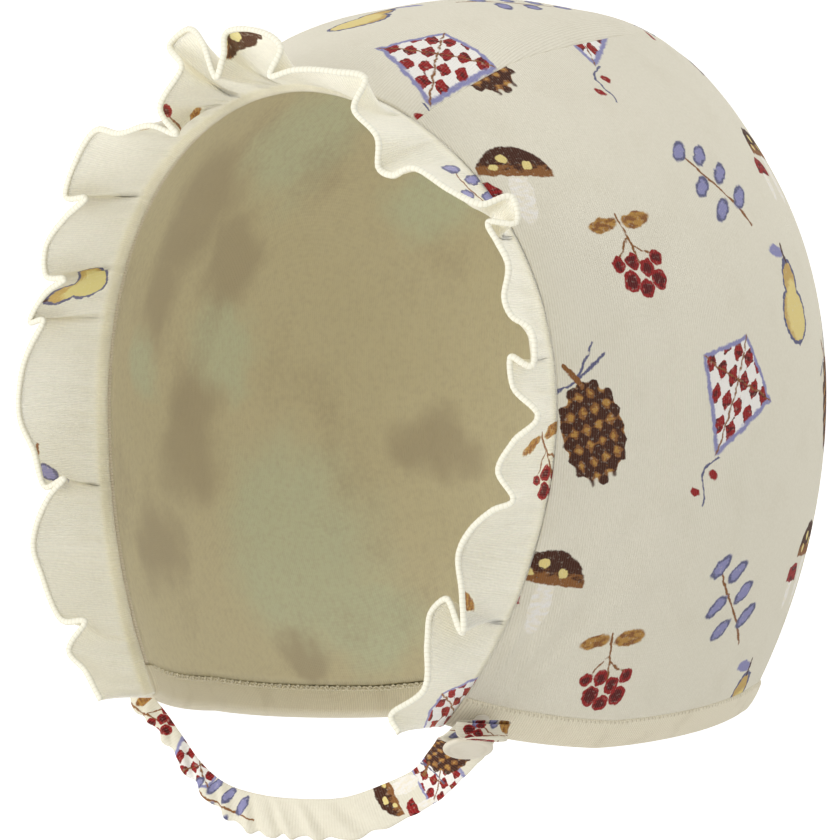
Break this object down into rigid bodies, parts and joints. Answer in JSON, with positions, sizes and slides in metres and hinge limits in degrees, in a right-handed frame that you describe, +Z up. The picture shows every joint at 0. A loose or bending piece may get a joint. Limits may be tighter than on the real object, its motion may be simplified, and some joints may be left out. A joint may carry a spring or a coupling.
{
  "type": "baby bonnet",
  "caption": "Baby bonnet in printed knit jersey with a panelled crown, a plain lining, a gathered ruffle round the face and a chin strap closed by a snap.",
  "frame": {"origin": "inner top of the crown, where the wearer's head bears", "axes": "+Z up, -Y the way the face opening looks, +X towards the wearer's left"},
  "size_m": [0.1319, 0.1677, 0.1605],
  "materials": {
    "printed_jersey": "matte cotton jersey, off-white with a small coloured print",
    "lining_jersey": "matte plain jersey",
    "rib_band": "matte fine rib",
    "edging": "matte jersey with an overlocked edge",
    "snap_plastic": "satin moulded plastic"
  },
  "bodies": {
    "root": {"centre_panel": "printed_jersey", "side_panel_left": "printed_jersey", "side_panel_right": "printed_jersey", "lining": "lining_jersey", "neck_band": "rib_band", "face_binding": "edging", "face_ruffle": "edging", "chin_strap": "printed_jersey", "snap_cap": "snap_plastic", "snap_stud": "snap_plastic"}
  },
  "joints": []
}
